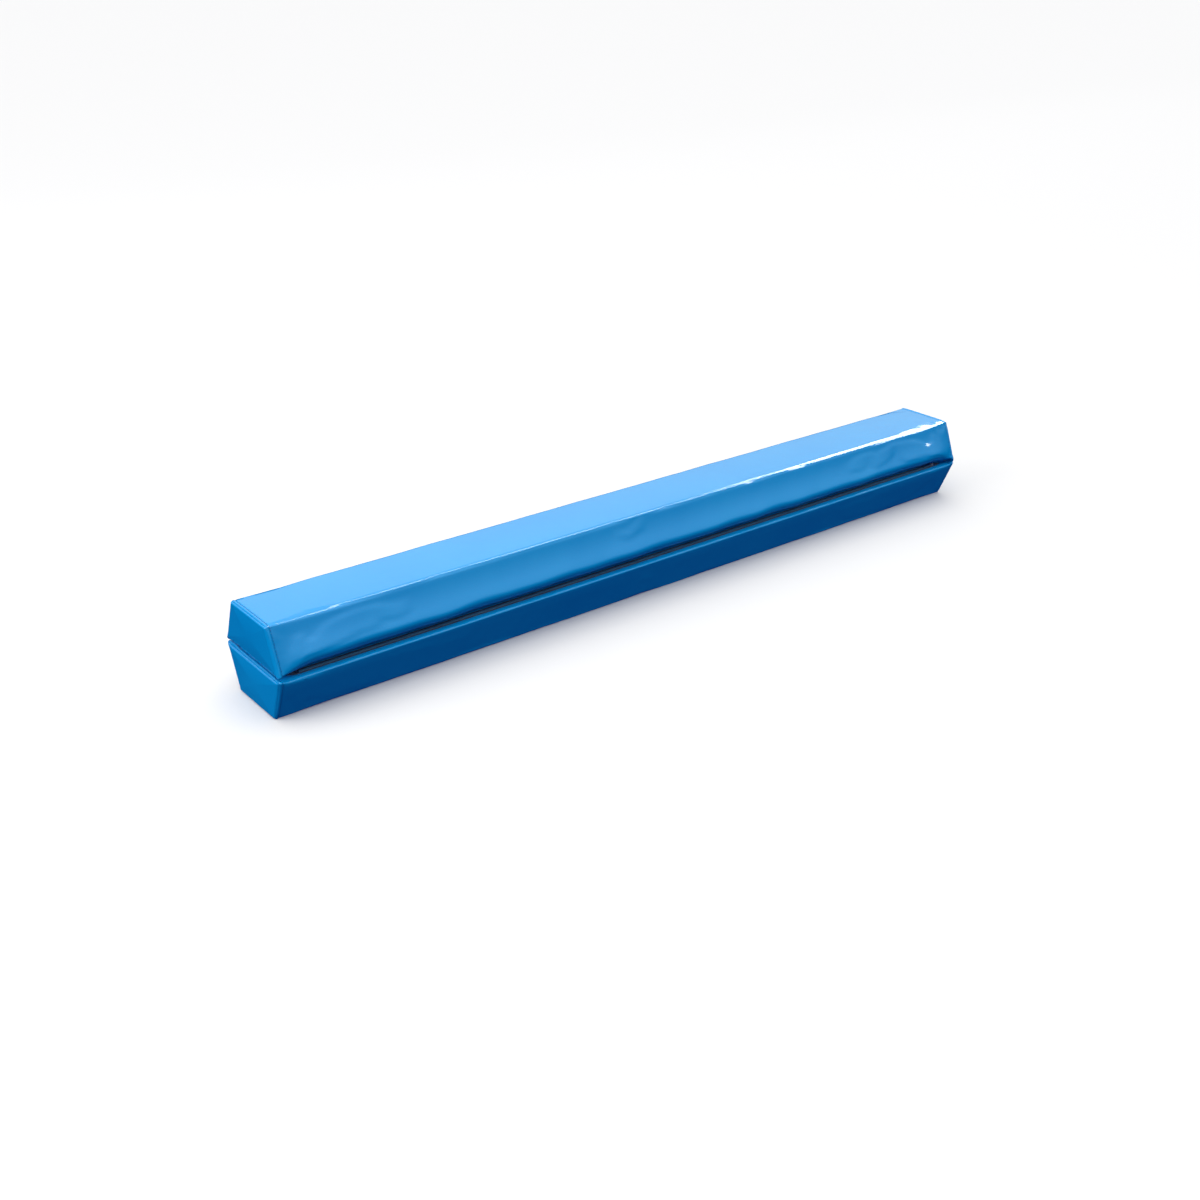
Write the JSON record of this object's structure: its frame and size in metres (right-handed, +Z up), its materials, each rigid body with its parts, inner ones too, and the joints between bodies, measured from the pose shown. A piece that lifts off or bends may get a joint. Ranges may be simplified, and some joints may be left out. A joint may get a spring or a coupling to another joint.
{
  "type": "folding floor balance beam",
  "caption": "Folding foam balance beam for the floor, shown folded: trapezoid sections in a glossy vinyl cover, hinged at one end, with zipped covers.",
  "frame": {"origin": "on the floor, under the middle of the folded beam", "axes": "+X along the beam towards the hinged end, +Y across it, +Z up"},
  "size_m": [1.3758, 0.1488, 0.138],
  "materials": {
    "cover_vinyl": "gloss",
    "core_foam": "matte",
    "zip_tape": "matte",
    "zip_coil": "satin",
    "zip_metal": "satin"
  },
  "bodies": {
    "lower_section": {"lower_wrap_panel": "cover_vinyl", "lower_open_end_panel": "cover_vinyl", "lower_hinge_end_panel": "cover_vinyl", "lower_base_panel": "cover_vinyl", "lower_tread_foam_plank": "core_foam", "lower_base_foam_plank": "core_foam", "lower_zip_edge_tape": "zip_tape", "lower_zip_inner_tape": "zip_tape", "lower_zip_edge_coil": "zip_coil", "lower_zip_inner_coil": "zip_coil", "lower_zip_hinge_end_stop": "zip_metal", "lower_zip_open_end_stop": "zip_metal", "hinge_strip": "cover_vinyl"},
    "lower_zip_slider_body": {"lower_zip_slider": "zip_metal"},
    "lower_zip_pull_body": {"lower_zip_pull": "zip_metal"},
    "upper_section": {"upper_wrap_panel": "cover_vinyl", "upper_open_end_panel": "cover_vinyl", "upper_hinge_end_panel": "cover_vinyl", "upper_base_panel": "cover_vinyl", "upper_tread_foam_plank": "core_foam", "upper_base_foam_plank": "core_foam", "upper_zip_edge_tape": "zip_tape", "upper_zip_inner_tape": "zip_tape", "upper_zip_edge_coil": "zip_coil", "upper_zip_inner_coil": "zip_coil", "upper_zip_hinge_end_stop": "zip_metal", "upper_zip_open_end_stop": "zip_metal"},
    "upper_zip_slider_body": {"upper_zip_slider": "zip_metal"},
    "upper_zip_pull_body": {"upper_zip_pull": "zip_metal"}
  },
  "joints": [
    {"name": "fold", "type": "hinge", "parent": "lower_section", "child": "upper_section", "pos_m": [0.689, 0, 0.069], "axis": [0, 1, 0], "range_deg": [0, 180], "deforming": ["hinge_strip"]},
    {"name": "lower_zip_slide", "type": "slide", "parent": "lower_section", "child": "lower_zip_slider_body", "axis": [-1, 0, 0], "range_m": [0, 1.287]},
    {"name": "lower_pull_swing", "type": "hinge", "parent": "lower_zip_slider_body", "child": "lower_zip_pull_body", "pos_m": [0.6435, -0.06025, 0.0678], "axis": [0, 0.9951, 0.0993], "range_deg": [0, 7]},
    {"name": "upper_zip_slide", "type": "slide", "parent": "upper_section", "child": "upper_zip_slider_body", "axis": [-1, 0, 0], "range_m": [0, 1.287]},
    {"name": "upper_pull_swing", "type": "hinge", "parent": "upper_zip_slider_body", "child": "upper_zip_pull_body", "pos_m": [0.6435, 0.06025, 0.0702], "axis": [0, -0.9951, -0.0993], "range_deg": [0, 7]}
  ]
}
